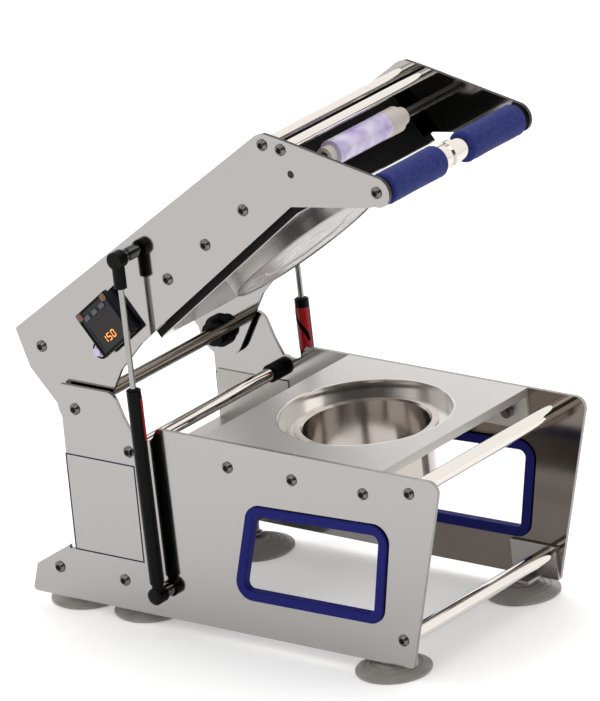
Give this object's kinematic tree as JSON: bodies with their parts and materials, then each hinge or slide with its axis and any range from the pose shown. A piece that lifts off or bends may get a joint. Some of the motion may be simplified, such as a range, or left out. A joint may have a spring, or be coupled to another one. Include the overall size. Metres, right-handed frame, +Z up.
{
  "type": "cup sealing machine",
  "caption": "Table-top cup sealing machine with a hinged, gas-sprung sealing head between mirror-polished side plates, a round die recess, foam-gripped handle and suction feet.",
  "frame": {"origin": "centre of the outline on the table, with the head open at rest", "axes": "+X towards the handle and the operator, +Y along the tie bars, +Z up"},
  "size_m": [0.537, 0.297, 0.5577],
  "materials": {
    "polished_steel": "mirror-polished stainless sheet",
    "blue_rubber": "royal blue edge trim",
    "chrome_bar": "polished round bar",
    "black_plastic": "satin black",
    "bolt_steel": "stainless fasteners",
    "brushed_steel": "brushed stainless",
    "grey_rubber": "pale grey rubber",
    "red_plastic": "gloss red",
    "cream_plastic": "cream terminal plastic",
    "dark_steel": "blackened steel",
    "aluminium": "machined",
    "disc_aluminium": "machined and coated",
    "blue_foam": "royal blue foam rubber",
    "clear_film": "wound clear sealing film",
    "white_plastic": "white core tube",
    "lilac_film": "wound printed sealing film",
    "amber_display": "amber digits on a dark window",
    "grey_plastic": "soft keys",
    "lamp_lens": "clear lilac lens",
    "black_paint": "gloss black tube",
    "rod_steel": "ground rod",
    "red_label": "plain red sleeve with a black swoosh"
  },
  "bodies": {
    "base": {"side_plate_left": "polished_steel", "side_plate_right": "polished_steel", "window_trims": "blue_rubber", "tie_bars": "chrome_bar", "tower_bar_collars": "black_plastic", "frame_bolts": "bolt_steel", "foot_brackets": "brushed_steel", "foot_studs": "bolt_steel", "suction_feet": "grey_rubber", "die_plate": "polished_steel", "die_ring": "brushed_steel", "cup_holder": "polished_steel", "box_shell": "brushed_steel", "box_lid": "brushed_steel", "side_covers": "polished_steel", "power_inlet": "black_plastic", "fuse_holder": "black_plastic", "switch_body": "black_plastic", "terminal_block": "cream_plastic", "relay": "black_plastic", "pivot_shaft": "dark_steel", "lower_studs": "bolt_steel"},
    "head": {"arm_left": "polished_steel", "arm_right": "polished_steel", "pivot_hubs": "black_plastic", "head_bars": "chrome_bar", "guide_bar": "chrome_bar", "arm_bolts": "bolt_steel", "carrier_rails": "aluminium", "insulation_plate": "black_plastic", "shield_plate": "polished_steel", "sealing_disc": "disc_aluminium", "heater_element": "dark_steel", "cutter_ring": "brushed_steel", "head_cover": "black_plastic", "handle_bar": "chrome_bar", "grip_left": "blue_foam", "grip_right": "blue_foam", "handle_joint": "chrome_bar", "handle_collars": "black_plastic", "film_shafts": "dark_steel", "controller": "black_plastic", "display_window": "amber_display", "pilot_lamp": "lamp_lens", "upper_studs": "bolt_steel"},
    "rocker": {"rocker": "red_plastic"},
    "supply_roll": {"supply_core": "black_plastic", "supply_film": "clear_film"},
    "takeup_roll": {"takeup_core": "white_plastic", "takeup_film": "lilac_film"},
    "key_1": {"key_1": "grey_plastic"},
    "key_2": {"key_2": "grey_plastic"},
    "key_3": {"key_3": "grey_plastic"},
    "spring_tube_left": {"spring_tube_left": "black_paint", "spring_label_left": "red_label"},
    "spring_rod_left": {"spring_rod_left": "rod_steel"},
    "spring_tube_right": {"spring_tube_right": "black_paint", "spring_label_right": "red_label"},
    "spring_rod_right": {"spring_rod_right": "rod_steel"}
  },
  "joints": [
    {"name": "head_hinge", "type": "hinge", "parent": "base", "child": "head", "pos_m": [-0.1875, 0, 0.226], "axis": [0, 1, 0], "range_deg": [0, 40]},
    {"name": "spring_left_swing", "type": "hinge", "parent": "base", "child": "spring_tube_left", "pos_m": [-0.092, -0.139, 0.044], "axis": [0, 1, 0], "range_deg": [-0.5, 20.03]},
    {"name": "spring_left_stroke", "type": "slide", "parent": "spring_tube_left", "child": "spring_rod_left", "axis": [-0.02, 0, 0.9998], "range_m": [-0.08509, 0.0005]},
    {"name": "spring_right_swing", "type": "hinge", "parent": "base", "child": "spring_tube_right", "pos_m": [-0.092, 0.139, 0.044], "axis": [0, 1, 0], "range_deg": [-0.5, 20.03]},
    {"name": "spring_right_stroke", "type": "slide", "parent": "spring_tube_right", "child": "spring_rod_right", "axis": [-0.02, 0, 0.9998], "range_m": [-0.08509, 0.0005]},
    {"name": "supply_roll_spin", "type": "hinge", "parent": "head", "child": "supply_roll", "pos_m": [-0.22918, 0, 0.28501], "axis": [0, 1, 0], "continuous": true},
    {"name": "takeup_roll_spin", "type": "hinge", "parent": "head", "child": "takeup_roll", "pos_m": [0.11713, 0, 0.51947], "axis": [0, 1, 0], "continuous": true},
    {"name": "power_rocker", "type": "hinge", "parent": "base", "child": "rocker", "pos_m": [-0.2025, 0.004, 0.1], "axis": [0, 0, 1], "range_deg": [-18, 0]},
    {"name": "key_1_press", "type": "slide", "parent": "head", "child": "key_1", "axis": [0, 1, 0], "range_m": [0, 0.001], "stiffness_N_per_m": 150, "springref_m": -0.0005},
    {"name": "key_2_press", "type": "slide", "parent": "head", "child": "key_2", "axis": [0, 1, 0], "range_m": [0, 0.001], "stiffness_N_per_m": 150, "springref_m": -0.0005},
    {"name": "key_3_press", "type": "slide", "parent": "head", "child": "key_3", "axis": [0, 1, 0], "range_m": [0, 0.001], "stiffness_N_per_m": 150, "springref_m": -0.0005}
  ],
  "couplings": [
    {"joint": "spring_left_swing", "follows": "head_hinge", "ratio": 0.48822},
    {"joint": "spring_right_swing", "follows": "head_hinge", "ratio": 0.48822},
    {"joint": "spring_left_stroke", "follows": "head_hinge", "m_per_rad": -0.12117},
    {"joint": "spring_right_stroke", "follows": "head_hinge", "m_per_rad": -0.12117}
  ]
}
